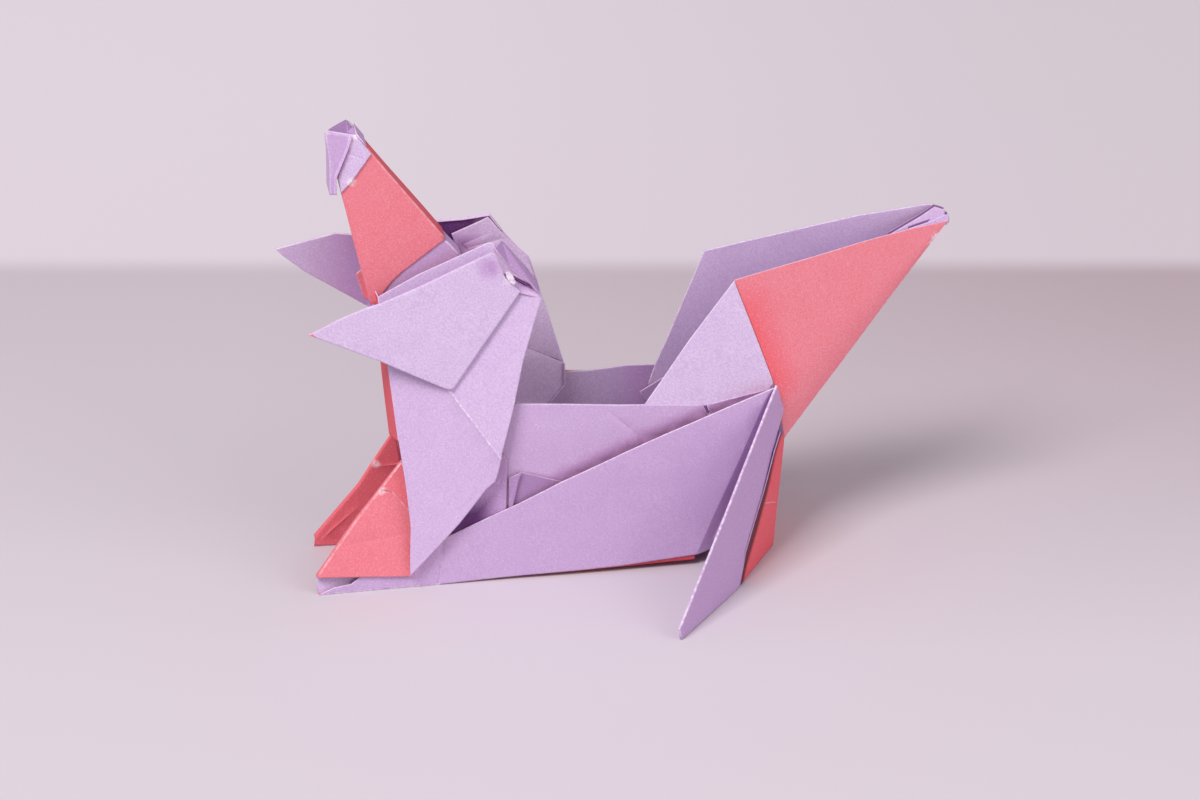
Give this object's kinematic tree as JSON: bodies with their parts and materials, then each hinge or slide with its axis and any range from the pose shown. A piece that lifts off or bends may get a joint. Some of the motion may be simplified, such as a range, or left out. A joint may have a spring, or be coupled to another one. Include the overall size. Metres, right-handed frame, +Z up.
{
  "type": "origami dog",
  "caption": "Origami dog folded from a square of paper, lavender on one face and coral on the other, with a raised muzzle, open back, splayed hind legs and an upswept tail.",
  "frame": {"origin": "on the table plane, below the centre of the figure's bounding box", "axes": "+Z up, -X towards the head, +X towards the tail, -Y the near flank that the picture shows"},
  "size_m": [0.09, 0.0574, 0.0633],
  "materials": {
    "paper": "matt uncoated craft paper, lavender outside and coral on the turned-out face"
  },
  "bodies": {
    "root": {"folded_sheet": "paper"}
  },
  "joints": []
}
